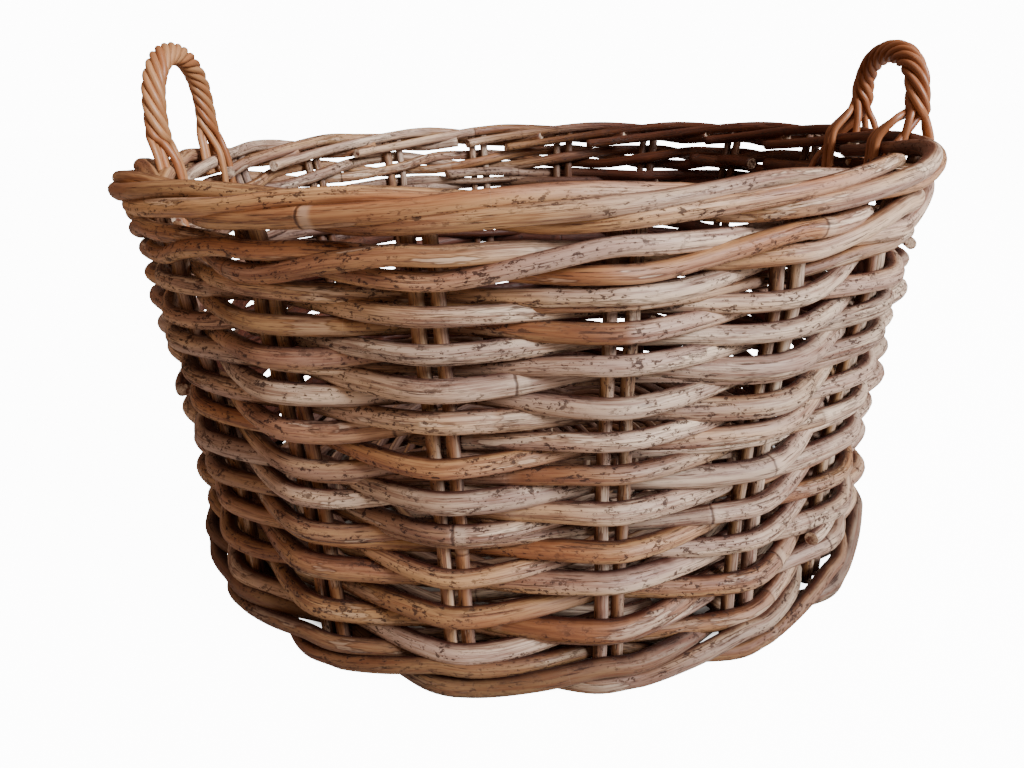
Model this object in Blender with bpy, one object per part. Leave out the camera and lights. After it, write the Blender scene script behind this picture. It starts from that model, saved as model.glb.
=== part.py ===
"""Round laundry basket of thick rattan rods, with two twisted ear handles.

Frame: metres, +Z up, the origin on the floor under the middle of the basket, the handles at -X and +X.
Paired stakes stand round the wall. Weavers pass in front of one pair and behind the next, and every
second row does the opposite. Bands of three rods, twisted round the stakes, make the foot, the wale
and the border.
"""

import math
from itertools import pairwise

import bmesh
import bpy
from mathutils import Matrix, Vector

UP = Vector((0, 0, 1))

# Driving sizes, in metres.
STAKE_PAIRS = 18
WEAVE_ROWS = 20
FOOT_RADIUS = 0.2415  # to the stakes' centres, at the floor
LOWER_RADIUS = 0.2425  # at row LOWER_ROW
UPPER_RADIUS = 0.2490  # at row UPPER_ROW
RIM_RADIUS = 0.2650  # at the top of the border
LOWER_ROW = 7
UPPER_ROW = 14
BOTTOM_WEAVER_DIAMETER = 0.0118
TOP_WEAVER_DIAMETER = 0.0095
FOOT_ROD_DIAMETER = 0.0104
RIM_ROD_DIAMETER = 0.0090  # the wale's and the border's rods
STAKE_DIAMETER = 0.0080
STAKE_END_HEIGHT = 0.003  # the stakes' lower ends above the floor
STAKE_END_IN_BORDER = 0.004  # the stakes' upper ends above the border's middle
WEAVE_CLEARANCE = 0.0006  # between a weaver and the stakes it passes
ROW_CLEARANCE = 0.0005  # between one row and the next
BAND_GAP = 0.0030  # the open strip between the wale and the border
BAND_SPREAD = 1.45  # a band's upper and lower rods from its middle, in half heights of its rod
BAND_CLIMB = 0.85  # how far out a band's rod is between two pairs, as a share of how far out it passes them
BAND_DIVE = 0.35  # how far in it is next to the pair that it passes behind, as the same share
ROD_END_GAP = 0.0010  # where a rod that goes once round meets its own start
BASE_STICKS = 3  # in each of the two layers that cross at the middle and fan out to the wall
BASE_STICK_DIAMETER = 0.0100
BASE_MIDDLE = 0.0165  # the sticks' ends and the base weave's middle above the floor
BASE_CROSS_REACH = 0.0220  # how far from the middle the sticks start to fan out
BASE_WEAVE_START = 0.0450  # inner radius of the base weave
BASE_WEAVE_THICKNESS = 0.0210
PIECE_CLEARANCE = 0.0005
FOOT_FLAT_DEPTH = 0.0006  # how much the foot's rods are flattened where they stand on the floor
BOW_DIAMETER = 0.0078
STRAND_DIAMETER = 0.0043
STRANDS = 2
STRAND_PITCH = 0.0280  # along the bow, for one turn
BOW_HALF_WIDTH = 0.0440  # at the bow's widest
BOW_FOOT_HALF_WIDTH = 0.0560  # where the legs pass the border
BOW_RISE = 0.0590  # bow's centre line above the border's top
BOW_LEG_DEPTH = 0.0600  # how far the legs reach below the border's top
BOW_SPRING = 0.0220  # height above the border's top where the legs end and the arch starts
BOW_OUTWARD = 0.0140  # how far the top of the arch stands out from the legs
BOW_SPRING_OUT = 0.7  # share of that reached where the arch starts
WRAP_START = 0.0110  # lowest point of the wrapping above the border's top
ROD_SIDES = 6
STRAND_SIDES = 5
STRAND_STEPS = 8  # samples in one turn of a strand
BASE_EDGES = 36
BOW_ARCH_STEPS = 14

# Sizes that follow from those above.
EQUAL_AREA = math.sqrt(math.pi / (12 * math.sin(math.radians(60))))  # corner radius over diameter
FLAT_SHARE = math.cos(math.pi / ROD_SIDES)  # distance to a flat over the corner radius
STAKE_CORNER = EQUAL_AREA * STAKE_DIAMETER
STAKE_FLAT = STAKE_CORNER * FLAT_SHARE
PAIR_HALF_WIDTH = 2 * STAKE_FLAT
STAKE_ANGLE = 2 * math.pi / STAKE_PAIRS


def half_height(diameter):
    """Half the height of a level rod."""
    return EQUAL_AREA * diameter * FLAT_SHARE


def band_half_height(diameter):
    """Half the height of a twisted band of three rods."""
    return (1 + BAND_SPREAD) * half_height(diameter)


def row_places():
    """The diameter and the middle height of every row of weavers, from the bottom."""
    places = []
    height = FOOT_MIDDLE + band_half_height(FOOT_ROD_DIAMETER)
    for row in range(WEAVE_ROWS):
        share = row / (WEAVE_ROWS - 1)
        diameter = BOTTOM_WEAVER_DIAMETER + share * (TOP_WEAVER_DIAMETER - BOTTOM_WEAVER_DIAMETER)
        height += ROW_CLEARANCE + half_height(diameter)
        places.append((diameter, height))
        height += half_height(diameter)
    return places


FOOT_MIDDLE = band_half_height(FOOT_ROD_DIAMETER) - FOOT_FLAT_DEPTH
ROWS = row_places()
ROWS_TOP = ROWS[-1][1] + half_height(TOP_WEAVER_DIAMETER)
WALE_MIDDLE = ROWS_TOP + ROW_CLEARANCE + band_half_height(RIM_ROD_DIAMETER)
BORDER_MIDDLE = WALE_MIDDLE + 2 * band_half_height(RIM_ROD_DIAMETER) + BAND_GAP
BORDER_TOP = BORDER_MIDDLE + band_half_height(RIM_ROD_DIAMETER)
BASE_TOP = BASE_MIDDLE + BASE_WEAVE_THICKNESS / 2
FAN_ANGLE = math.pi / 2 / BASE_STICKS  # between neighbouring sticks' ends
PROFILE = (
    (0.0, FOOT_RADIUS),
    (ROWS[LOWER_ROW - 1][1], LOWER_RADIUS),
    (ROWS[UPPER_ROW - 1][1], UPPER_RADIUS),
    (BORDER_TOP, RIM_RADIUS),
)


def wall_radius(height):
    """Distance from the axis to the stakes' centres at a height, and the wall's slope there."""
    for (z0, r0), (z1, r1) in pairwise(PROFILE):
        slope = (r1 - r0) / (z1 - z0)
        if height <= z1:
            break
    return r0 + slope * (height - z0), slope


def weave_offset(height, diameter):
    """How far a rod's centre line stands from the stakes' centres where it passes them."""
    lean = math.atan(wall_radius(height)[1])
    return STAKE_CORNER / math.cos(lean) + EQUAL_AREA * diameter + WEAVE_CLEARANCE


def inner_radius(height, diameter):
    """Free radius inside the rods of one diameter, at a height."""
    return wall_radius(height)[0] - weave_offset(height, diameter) - EQUAL_AREA * diameter


def around(angle, out, along, height):
    """A point near the wall: out from the stakes' circle at this height, and along the tangent."""
    radial = Vector((math.cos(angle), math.sin(angle), 0))
    tangent = UP.cross(radial)
    return radial * (wall_radius(height)[0] + out) + tangent * along + UP * height


def sections(points, side_hint=None):
    """A frame at each point of a path: local Z along it, and local X level, or near side_hint."""
    frames = []
    last = len(points) - 1
    for index, point in enumerate(points):
        ahead = (points[min(index + 1, last)] - point).normalized()
        behind = (point - points[max(index - 1, 0)]).normalized()
        along = (ahead + behind).normalized()
        side = side_hint if side_hint else along.cross(UP)
        up = along.cross(side).normalized()
        side = up.cross(along)
        frame = Matrix((side, up, along)).transposed().to_4x4()
        frames.append(Matrix.Translation(point) @ frame)
    return frames


def finished(name, mesh_data, material):
    """Turns a bmesh into a named object with its material."""
    bmesh.ops.recalc_face_normals(mesh_data, faces=mesh_data.faces)
    mesh = bpy.data.meshes.new(name)
    mesh_data.to_mesh(mesh)
    mesh_data.free()
    mesh.materials.append(material)
    item = bpy.data.objects.new(name, mesh)
    bpy.context.collection.objects.link(item)
    return item


def swept(name, outline, frames, material):
    """A solid with one flat outline carried through a row of frames."""
    solid = bmesh.new()
    corners = [solid.verts.new(frames[0] @ Vector((x, y, 0))) for x, y in outline]
    face = solid.faces.new(corners)
    edges = list(face.edges)
    for before, after in pairwise(frames):
        grown = bmesh.ops.extrude_edge_only(solid, edges=edges)["geom"]
        edges = [item for item in grown if isinstance(item, bmesh.types.BMEdge)]
        edges = [edge for edge in edges if len(edge.link_faces) == 1]
        corners = [item for item in grown if isinstance(item, bmesh.types.BMVert)]
        bmesh.ops.transform(solid, matrix=after @ before.inverted(), verts=corners)
    bmesh.ops.contextual_create(solid, geom=edges)
    return finished(name, solid, material)


def polygon(corner_radius, sides):
    """A regular outline with a corner on local X."""
    turns = (2 * math.pi * k / sides for k in range(sides))
    return [(corner_radius * math.cos(t), corner_radius * math.sin(t)) for t in turns]


def pair_outline():
    """Two hexagons that share a flat, as two stakes pressed side by side."""
    corners = []
    for shift, first in ((STAKE_FLAT, -60), (-STAKE_FLAT, 120)):
        for step in range(5):
            turn = math.radians(first + 60 * step - 30)
            corners.append((shift + STAKE_CORNER * math.cos(turn), STAKE_CORNER * math.sin(turn)))
    return corners


def weave_row(number, material):
    """One weaver, once round the wall, with its two ends behind one pair of stakes."""
    diameter, height = ROWS[number - 1]
    offset = weave_offset(height, diameter)
    start = (7 * number + 1) % STAKE_PAIRS
    points = [around(start * STAKE_ANGLE, -offset, ROD_END_GAP / 2, height)]
    for stake in range(start + 1, start + STAKE_PAIRS):
        angle = stake * STAKE_ANGLE
        if (stake + number) % 2:
            points.append(around(angle, -offset, 0, height))
        else:
            points += [around(angle, offset, along, height) for along in (-PAIR_HALF_WIDTH, PAIR_HALF_WIDTH)]
    points.append(around(start * STAKE_ANGLE, -offset, -ROD_END_GAP / 2, height))
    outline = polygon(EQUAL_AREA * diameter, ROD_SIDES)
    return swept(f"weaver_row_{number:02d}", outline, sections(points), material)


def band_rod(name, middle, diameter, phase, material):
    """One rod of a three-rod band: in front of two pairs of stakes while it climbs, then behind one."""
    offset = weave_offset(middle, diameter)
    spread = BAND_SPREAD * half_height(diameter)
    low, high = middle - spread, middle + spread
    climb = BAND_CLIMB * offset + spread * abs(wall_radius(middle)[1])  # further out where the wall leans
    first = (2 - phase) % 3
    points = [around(first * STAKE_ANGLE, -offset, ROD_END_GAP / 2, middle)]
    for stake in range(first, first + STAKE_PAIRS):
        angle = stake * STAKE_ANGLE
        turn = (stake + phase) % 3
        if turn == 0:
            points += [around(angle, offset, along, low) for along in (-PAIR_HALF_WIDTH, PAIR_HALF_WIDTH)]
            points.append(around(angle + STAKE_ANGLE / 2, climb, 0, middle))
        elif turn == 1:
            points += [around(angle, offset, along, high) for along in (-PAIR_HALF_WIDTH, PAIR_HALF_WIDTH)]
            points.append(around(angle + STAKE_ANGLE / 2, -BAND_DIVE * offset, 0, high))
        else:
            if stake > first:
                points.append(around(angle, -offset, 0, middle))
            points.append(around(angle + STAKE_ANGLE / 2, -BAND_DIVE * offset, 0, low))
    points.append(around(first * STAKE_ANGLE, -offset, -ROD_END_GAP / 2, middle))
    return swept(name, polygon(EQUAL_AREA * diameter, ROD_SIDES), sections(points), material)


def floor_cutter(material):
    """A block under the floor, which flattens what would reach below it."""
    reach = RIM_RADIUS + 0.1
    frames = [Matrix.Translation((0, 0, height)) for height in (-reach, 0)]
    return hidden(swept("floor_cutter", polygon(reach, 4), frames, material))


def cut(item, cutter):
    """Takes the cutter's shape out of an object."""
    step = item.modifiers.new(cutter.name, "BOOLEAN")
    step.operation = "DIFFERENCE"
    step.object = cutter


def hidden(item):
    """Marks an object as a cutter."""
    item.hide_render = True
    item.display_type = "WIRE"
    return item


def stake_pair(number, material):
    """Two stakes side by side, from just above the floor into the border."""
    angle = number * STAKE_ANGLE
    bends = [height for height, _ in PROFILE[1:-1]]
    heights = [STAKE_END_HEIGHT, *bends, BORDER_MIDDLE + STAKE_END_IN_BORDER]
    points = [around(angle, 0, 0, height) for height in heights]
    tangent = Vector((-math.sin(angle), math.cos(angle), 0))
    return swept(f"stake_pair_{number + 1:02d}", pair_outline(), sections(points, tangent), material)


def base_radius():
    """Free radius for the base, which lies inside the foot and the lowest row."""
    thickest = max(FOOT_ROD_DIAMETER, BOTTOM_WEAVER_DIAMETER)
    return min(inner_radius(0, thickest), inner_radius(BASE_TOP, thickest)) - PIECE_CLEARANCE


def base_stick(name, place, layer, material, oversize=0.0):
    """A stick across the base: straight where it crosses the other layer, then fanned out to the wall.

    Layer 0 runs along X and layer 1 on top of it along Y. As a cutter the stick is thicker by oversize,
    and it reaches past the base weave.
    """
    corner = EQUAL_AREA * BASE_STICK_DIAMETER
    lift = half_height(BASE_STICK_DIAMETER) + PIECE_CLEARANCE / 2
    level = BASE_MIDDLE + (lift if layer else -lift)
    reach = math.sqrt(base_radius() ** 2 - corner**2)
    fan = place * FAN_ANGLE
    bend = Vector((BASE_CROSS_REACH, place * (2 * corner + PIECE_CLEARANCE), level))
    end = Vector((reach * math.cos(fan), reach * math.sin(fan), BASE_MIDDLE))
    if oversize:
        end = end.lerp(bend, -0.1)
    half = [bend, end]
    points = [Vector((-x, y, z)) for x, y, z in reversed(half)] + half
    turn = Matrix.Rotation(layer * math.pi / 2, 4, "Z")
    return swept(name, polygon(corner + oversize, ROD_SIDES), sections([turn @ p for p in points]), material)


def base_weave(material):
    """The flat weave that fills the base round its crossing, with a channel for each stick."""
    levels = (BASE_MIDDLE - BASE_WEAVE_THICKNESS / 2, BASE_TOP)
    frames = [Matrix.Translation((0, 0, level)) for level in levels]
    weave = swept("base_weave", polygon(base_radius() - PIECE_CLEARANCE, BASE_EDGES), frames, material)
    frames = [Matrix.Translation((0, 0, level)) for level in (0, 2 * BASE_TOP)]
    cut(weave, hidden(swept("crossing", polygon(BASE_WEAVE_START, BASE_EDGES), frames, material)))
    for label, place, layer in base_stick_places():
        cut(weave, hidden(base_stick(f"channel_{label}", place, layer, material, PIECE_CLEARANCE)))
    return weave


def base_stick_places():
    """The name, the place from the middle and the layer of every base stick."""
    for layer, axis in enumerate("xy"):
        for number in range(BASE_STICKS):
            yield f"{axis}_{number + 1}", number - (BASE_STICKS - 1) / 2, layer


def bow_path(side, arch_steps):
    """A handle bow's centre line, from its foot at -Y over the top to its foot at +Y."""
    thickest = max(RIM_ROD_DIAMETER, TOP_WEAVER_DIAMETER)
    leg_radius = inner_radius(BORDER_MIDDLE, thickest) - EQUAL_AREA * BOW_DIAMETER - PIECE_CLEARANCE
    leg_x = math.sqrt(leg_radius**2 - BOW_FOOT_HALF_WIDTH**2)
    foot_x = leg_x - BOW_LEG_DEPTH * wall_radius(BORDER_TOP)[1]
    half = [(foot_x, BOW_FOOT_HALF_WIDTH, -BOW_LEG_DEPTH), (leg_x, BOW_FOOT_HALF_WIDTH, 0)]
    for step in range(arch_steps // 2 + 1):
        turn = math.pi / 2 * (1 - 2 * step / arch_steps)
        rise = BOW_SPRING + (BOW_RISE - BOW_SPRING) * math.cos(turn)
        out = BOW_OUTWARD * (BOW_SPRING_OUT + (1 - BOW_SPRING_OUT) * math.cos(turn))
        half.append((leg_x + out, BOW_HALF_WIDTH * math.sin(turn), rise))
    first = [Vector((side * x, -y, BORDER_TOP + rise)) for x, y, rise in half]
    second = [Vector((side * x, y, BORDER_TOP + rise)) for x, y, rise in reversed(half[:-1])]
    return first + second


def handle_bow(name, side, material):
    """The stiff rod inside a handle: an arch whose legs reach down inside the border and the wale."""
    frames = sections(bow_path(side, BOW_ARCH_STEPS), Vector((1, 0, 0)))
    return swept(name, polygon(EQUAL_AREA * BOW_DIAMETER, ROD_SIDES), frames, material)


def spaced(path, count):
    """Evenly spaced points along a path, each with the path's direction there."""
    lengths = [0.0]
    for before, after in pairwise(path):
        lengths.append(lengths[-1] + (after - before).length)
    found = []
    for step in range(count + 1):
        wanted = lengths[-1] * step / count
        index = max(1, sum(length < wanted for length in lengths))
        before, after = path[index - 1], path[index]
        share = (wanted - lengths[index - 1]) / (lengths[index] - lengths[index - 1])
        found.append((before.lerp(after, share), (after - before).normalized()))
    return found


def handle_strand(name, side, turn_share, material):
    """A thin strand that spirals round a handle's bow between its two feet."""
    wrapped = [p for p in bow_path(side, BOW_ARCH_STEPS * 4) if p.z > BORDER_TOP + WRAP_START]
    length = sum((after - before).length for before, after in pairwise(wrapped))
    corner = EQUAL_AREA * STRAND_DIAMETER
    reach = (EQUAL_AREA * BOW_DIAMETER + corner + PIECE_CLEARANCE) / math.cos(math.pi / STRAND_STEPS)
    path = []
    for step, (centre, along) in enumerate(spaced(wrapped, round(length / STRAND_PITCH * STRAND_STEPS))):
        outward = (Vector((side, 0, 0)) - along * (along.x * side)).normalized()
        level = along.cross(outward)
        turn = 2 * math.pi * (step / STRAND_STEPS + turn_share)
        path.append(centre + reach * (outward * math.cos(turn) + level * math.sin(turn)))
    return swept(name, polygon(corner, STRAND_SIDES), sections(path), material)


def rattan(name, colour, roughness):
    """A plain rod material."""
    material = bpy.data.materials.new(name)
    material.use_nodes = True
    shader = material.node_tree.nodes["Principled BSDF"]
    shader.inputs["Base Color"].default_value = (*colour, 1)
    shader.inputs["Roughness"].default_value = roughness
    shader.inputs["Metallic"].default_value = 0.0
    return material


def main():
    for item in list(bpy.data.objects):
        bpy.data.objects.remove(item)
    weaver_material = rattan("weathered_rattan", (0.42, 0.27, 0.16), 0.62)
    stake_material = rattan("stake_rattan", (0.38, 0.22, 0.12), 0.62)
    border_material = rattan("border_rattan", (0.50, 0.33, 0.19), 0.58)
    base_material = rattan("base_rattan", (0.34, 0.22, 0.14), 0.66)
    handle_material = rattan("handle_rattan", (0.52, 0.26, 0.11), 0.45)
    for number in range(STAKE_PAIRS):
        stake_pair(number, stake_material)
    for number in range(1, WEAVE_ROWS + 1):
        weave_row(number, weaver_material)
    bands = (
        ("foot", FOOT_MIDDLE, FOOT_ROD_DIAMETER),
        ("wale", WALE_MIDDLE, RIM_ROD_DIAMETER),
        ("border", BORDER_MIDDLE, RIM_ROD_DIAMETER),
    )
    floor = floor_cutter(border_material)
    for name, middle, diameter in bands:
        for phase in range(3):
            rod = band_rod(f"{name}_rod_{phase + 1}", middle, diameter, phase, border_material)
            if name == "foot":
                cut(rod, floor)
    for label, place, layer in base_stick_places():
        base_stick(f"base_stick_{label}", place, layer, base_material)
    base_weave(base_material)
    for name, side in (("left", -1), ("right", 1)):
        handle_bow(f"{name}_handle_bow", side, handle_material)
        for strand in range(STRANDS):
            label = f"{name}_handle_strand_{strand + 1}"
            handle_strand(label, side, strand / STRANDS, handle_material)


main()
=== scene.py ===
"""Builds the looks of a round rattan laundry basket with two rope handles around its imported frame."""

import math
import random
from collections import namedtuple

import bmesh
import bpy
import numpy as np
from bpy.props import FloatProperty, FloatVectorProperty, IntProperty, PointerProperty
from mathutils import Matrix, Vector, noise


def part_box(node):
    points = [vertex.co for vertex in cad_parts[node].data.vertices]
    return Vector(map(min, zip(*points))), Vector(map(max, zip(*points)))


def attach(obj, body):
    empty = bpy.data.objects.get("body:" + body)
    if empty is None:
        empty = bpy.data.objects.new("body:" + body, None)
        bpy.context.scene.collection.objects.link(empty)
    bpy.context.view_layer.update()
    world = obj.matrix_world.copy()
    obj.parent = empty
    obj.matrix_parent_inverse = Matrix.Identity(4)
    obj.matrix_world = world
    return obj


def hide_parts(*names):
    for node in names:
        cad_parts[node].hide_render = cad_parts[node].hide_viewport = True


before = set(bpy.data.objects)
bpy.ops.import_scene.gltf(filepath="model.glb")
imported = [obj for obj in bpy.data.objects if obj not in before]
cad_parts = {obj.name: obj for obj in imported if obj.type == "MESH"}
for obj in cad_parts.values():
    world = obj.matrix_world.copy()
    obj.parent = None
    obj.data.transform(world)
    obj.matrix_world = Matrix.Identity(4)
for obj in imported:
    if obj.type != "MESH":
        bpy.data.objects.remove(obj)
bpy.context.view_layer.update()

bl_info = {
    "name": "Woven Rattan Basket",
    "version": (1, 0, 0),
    "blender": (4, 5, 0),
    "location": "3D View > Sidebar > Basket",
    "description": "Weaves a round rattan basket with two rope handles around its packed frame",
    "category": "Add Mesh",
}

PAIRS = sum(name.startswith("stake_pair_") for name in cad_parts)
ROWS = sum(name.startswith("weaver_row_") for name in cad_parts)
STICKS = 3  # in each direction across the base
SPAN = 2 * math.pi / PAIRS  # from one pair of stakes to the next
STAKE_RADIUS = 0.004  # of the frame's stakes
BOW_RADIUS = 0.0039  # of the frame's bows
ROD_STEP = 0.0045  # between the rings of a rod
FINE_STEP = 0.0028  # between the rings of a handle's cane
WRAP_STEP = 0.0025  # between the places along a handle's rope
GAP = 0.0003  # between rods that lie on each other
WAIST_DEPTH, WAIST_SPREAD = 0.0032, 0.014  # how far the wall stands in under the rim, over what height
DENT_DEPTH, DENT_SPREAD = 0.0050, 0.55  # how far it does beside the left handle, over what angle
WALL_SHARPNESS, BASE_SHARPNESS = 0.93, 0.9  # how straight a rod runs from stake to stake, from 0 to 1
BAND_LENGTHS = 2  # rods laid one after the other for each of a twist's three
TUCK = 0.4  # how far the ends of a twist's rods reach past a pair of stakes, in spans
LEG_INSET = 0.0175  # from the stakes' circle to the bow's legs inside the basket
CORE_RADIUS = 0.0029  # of the bow inside a rope
ROPE_FANS = ((-1, 2), (1, -5))  # at each end of a rope, the place along it where its canes part
BACKDROP = 13.0  # brightness of the backdrop
CAMERA_TURNS = (21.2, 1.22, 2.03)  # pitch, yaw and roll, in degrees
LIGHTS = (  # name, place, width, power and colour
    ("window", (1.9, -1.5, 1.5), 0.9, 116, (0.97, 0.97, 1)),
    ("top", (0.5, -0.3, 2.2), 1.3, 17, (1, 0.97, 0.94)),
    ("fill", (-1.9, -1.3, 1.2), 1.6, 4, (1, 0.78, 0.60)),
)

# One rod of a piece: its centre line, its radius along it, its shade from 0 (grey) to 1 (honey), its
# sides, the step between its rings, how far its two ends are cut at a slant, in radians, and the mean
# distance between the joints of its cane.
Rod = namedtuple("Rod", "line girth shade sides step slants internode")

# A handle: how far its legs stand inside the stakes' circle, how far its top stands out beyond its legs,
# how much higher than the frame's it is, and how far its middle canes sink into the rim.
Handle = namedtuple("Handle", "inset bulge lift sunk")
HANDLES = {-1: Handle(0.0185, -0.0015, 0.0090, 0.0090), 1: Handle(-0.0012, -0.0034, -0.0065, 0.0030)}


# --- Places taken from the frame ---


def middle_height(node):
    low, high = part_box(node)
    return (low.z + high.z) / 2


def thickness(node):
    low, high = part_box(node)
    return high.z - low.z


def reach(node):
    """How far the node's outermost rod stands from the basket's axis."""
    low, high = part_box(node)
    return max(high.x, -low.x, high.y, -low.y)


def row_name(row):
    return f"weaver_row_{row + 1:02d}"


ROW_HEIGHTS = np.array([middle_height(row_name(row)) for row in range(ROWS)])
ROW_GIRTHS = np.array([thickness(row_name(row)) / 2 for row in range(ROWS)])
ROW_REACHES = np.array([reach(row_name(row)) for row in range(ROWS)])
FOOT_LOW, FOOT_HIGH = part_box("foot_rod_1")[0].z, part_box("foot_rod_1")[1].z
WALE_LOW, WALE_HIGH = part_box("wale_rod_1")[0].z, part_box("wale_rod_1")[1].z
RIM_LOW, RIM_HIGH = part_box("border_rod_1")[0].z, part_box("border_rod_1")[1].z
BOW_LOW, BOW_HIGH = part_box("right_handle_bow")
FOOT_REACH = reach("foot_rod_1")


def wall_radius(height):
    """Radius of the circle on which the stakes stand, at a height."""
    radii = ROW_REACHES - 2 * ROW_GIRTHS - STAKE_RADIUS - 2 * GAP
    lean = (radii[-1] - radii[-6]) / (ROW_HEIGHTS[-1] - ROW_HEIGHTS[-6])
    above = radii[-1] + lean * (RIM_HIGH - ROW_HEIGHTS[-1])
    heights = np.concatenate([[FOOT_LOW], ROW_HEIGHTS, [RIM_HIGH]])
    return np.interp(height, heights, np.concatenate([[radii[0] - 0.0005], radii, [above]]))


# --- Lines ---


def squeeze(angle, height):
    """How far the wall stands in from a true circle: under the rim, and beside the left handle."""
    waist = WAIST_DEPTH * np.exp(-(((height - WALE_LOW) / WAIST_SPREAD) ** 2))
    turn = np.abs((np.asarray(angle) % (2 * math.pi)) - math.pi)
    rise = np.clip((height - 0.19) / 0.05, 0, 1)
    return waist + DENT_DEPTH * np.exp(-((turn / DENT_SPREAD) ** 2)) * rise


def on_wall(angle, radius, height):
    angle, radius, height = np.broadcast_arrays(angle, radius, height)
    radius = radius - squeeze(angle, height)
    return np.stack([radius * np.cos(angle), radius * np.sin(angle), height], axis=1)


def smooth(value):
    value = np.clip(value, 0, 1)
    return value * value * (3 - 2 * value)


def eased(points, per_leg=12):
    """A smooth line through a few points, of any number of coordinates."""
    points = np.asarray(points, float)
    padded = np.vstack([2 * points[0] - points[1], points, 2 * points[-1] - points[-2]])
    share = np.linspace(0, 1, per_leg, endpoint=False)[:, None]
    legs = []
    for a, b, c, d in zip(padded, padded[1:], padded[2:], padded[3:]):
        bend = (2 * a - 5 * b + 4 * c - d) * share**2 + (3 * b - a - 3 * c + d) * share**3
        legs.append((2 * b + (c - a) * share + bend) / 2)
    return np.vstack(legs + [points[-1:]])


def evenly(line, girth, step):
    """The line and its radii again, with points one step apart."""
    run = np.concatenate([[0], np.cumsum(np.linalg.norm(np.diff(line, axis=0), axis=1))])
    count = max(4, round(run[-1] / step))
    along = np.linspace(0, run[-1], count + 1)
    even = np.stack([np.interp(along, run, line[:, axis]) for axis in range(3)], axis=1)
    return even, np.interp(along, run, girth), along


def wander(rng, count, scale, size):
    """A smooth random drift, as far as size to each side, that turns about once in scale points."""
    shift = rng.uniform(0, 900)
    return size * np.array([noise.noise(Vector((i / scale, shift, 0))) for i in range(count)])


def taper(count, rng):
    """Radii along a rod that thins from its butt to its tip, in either direction."""
    ends = (1.06, 0.93) if rng.random() < 0.5 else (0.93, 1.06)
    return np.linspace(*ends, count)


def draw_shade(rng, middle, spread):
    return min(1, max(0, rng.gauss(middle, spread)))


def draw_slants(rng):
    return rng.uniform(-0.5, 0.5), rng.uniform(-0.5, 0.5)


def wave_of(angle, crossings, number, sharpness):
    """From 1 where a rod passes in front of a stake to -1 behind it; odd and even numbers take turns."""
    wave = np.cos(crossings / 2 * angle) * (-1) ** number
    return np.arcsin(sharpness * wave) / math.asin(sharpness)


# --- Growing rods ---


def units(vectors):
    return vectors / np.linalg.norm(vectors, axis=1)[:, None]


def ring_frames(line, girth):
    """One matrix for each ring of a rod, carried along the line without twist."""
    steps = units(np.gradient(line, axis=0))
    ahead = Vector(steps[0])
    side = ahead.orthogonal().normalized()
    frames = []
    for place, step, radius in zip(line, steps, girth):
        step = Vector(step)
        side = ahead.rotation_difference(step) @ side
        side = (side - step * side.dot(step)).normalized()
        ahead = step
        columns = (side * radius, step.cross(side) * radius, step * radius)
        frames.append(Matrix.Translation(place) @ Matrix(columns).transposed().to_4x4())
    return frames


def internode_marks(along, internode, rng):
    """For each ring of a rod: its internode's number and the distance to the nearest joint."""
    joints = [-rng.uniform(0, internode)]
    while joints[-1] < along[-1] + internode:
        joints.append(joints[-1] + internode * rng.uniform(0.6, 1.4))
    joints = np.array(joints)
    number = np.searchsorted(joints, along)
    before = along - joints[np.maximum(number - 1, 0)]
    after = joints[np.minimum(number, len(joints) - 1)] - along
    return number, np.where(after < before, -after, before)


def grow(rod, rng):
    """A rod's mesh: one circle extruded from ring to ring along its line, with a face at each end."""
    line, girth, along = evenly(rod.line, rod.girth, rod.step)
    number, joint = internode_marks(along, rod.internode, rng)
    girth = girth * (1 + 0.045 * np.exp(-((joint / 0.0035) ** 2)) + wander(rng, len(girth), 9, 0.05))
    frames = ring_frames(line, girth)
    frames[0] = frames[0] @ Matrix.Rotation(rod.slants[0], 4, "X")
    frames[-1] = frames[-1] @ Matrix.Rotation(rod.slants[1], 4, "X")
    bm = bmesh.new()
    turn_layer = bm.verts.layers.float.new("turn")
    ring_layer = bm.verts.layers.float.new("ring")
    start = bmesh.ops.create_circle(bm, cap_ends=False, radius=1, segments=rod.sides, matrix=frames[0])
    for place, vert in enumerate(start["verts"]):
        vert[turn_layer] = place
    edges = bm.edges[:]
    first_edges = edges
    for ring in range(1, len(frames)):
        made = bmesh.ops.extrude_edge_only(bm, edges=edges)["geom"]
        verts = [part for part in made if isinstance(part, bmesh.types.BMVert)]
        edges = [part for part in made if isinstance(part, bmesh.types.BMEdge) and part.is_boundary]
        bmesh.ops.transform(bm, matrix=frames[ring] @ frames[ring - 1].inverted(), verts=verts)
        for vert in verts:
            vert[ring_layer] = ring
    caps = []
    for loop in (first_edges, edges):
        caps += bmesh.ops.edgeloop_fill(bm, edges=loop)["faces"]
    bmesh.ops.recalc_face_normals(bm, faces=bm.faces)
    for face in bm.faces:
        face.smooth = True
    for cap in caps:
        cap.material_index, cap.smooth = 1, False
    mesh = bpy.data.meshes.new("rod")
    bm.to_mesh(mesh)
    bm.free()
    shape_rod(mesh, rod, line, along, number, joint, rng)
    return mesh


def read(layer, name, count, kind=np.float32):
    values = np.empty(count, kind)
    layer.foreach_get(name, values)
    return values


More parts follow.
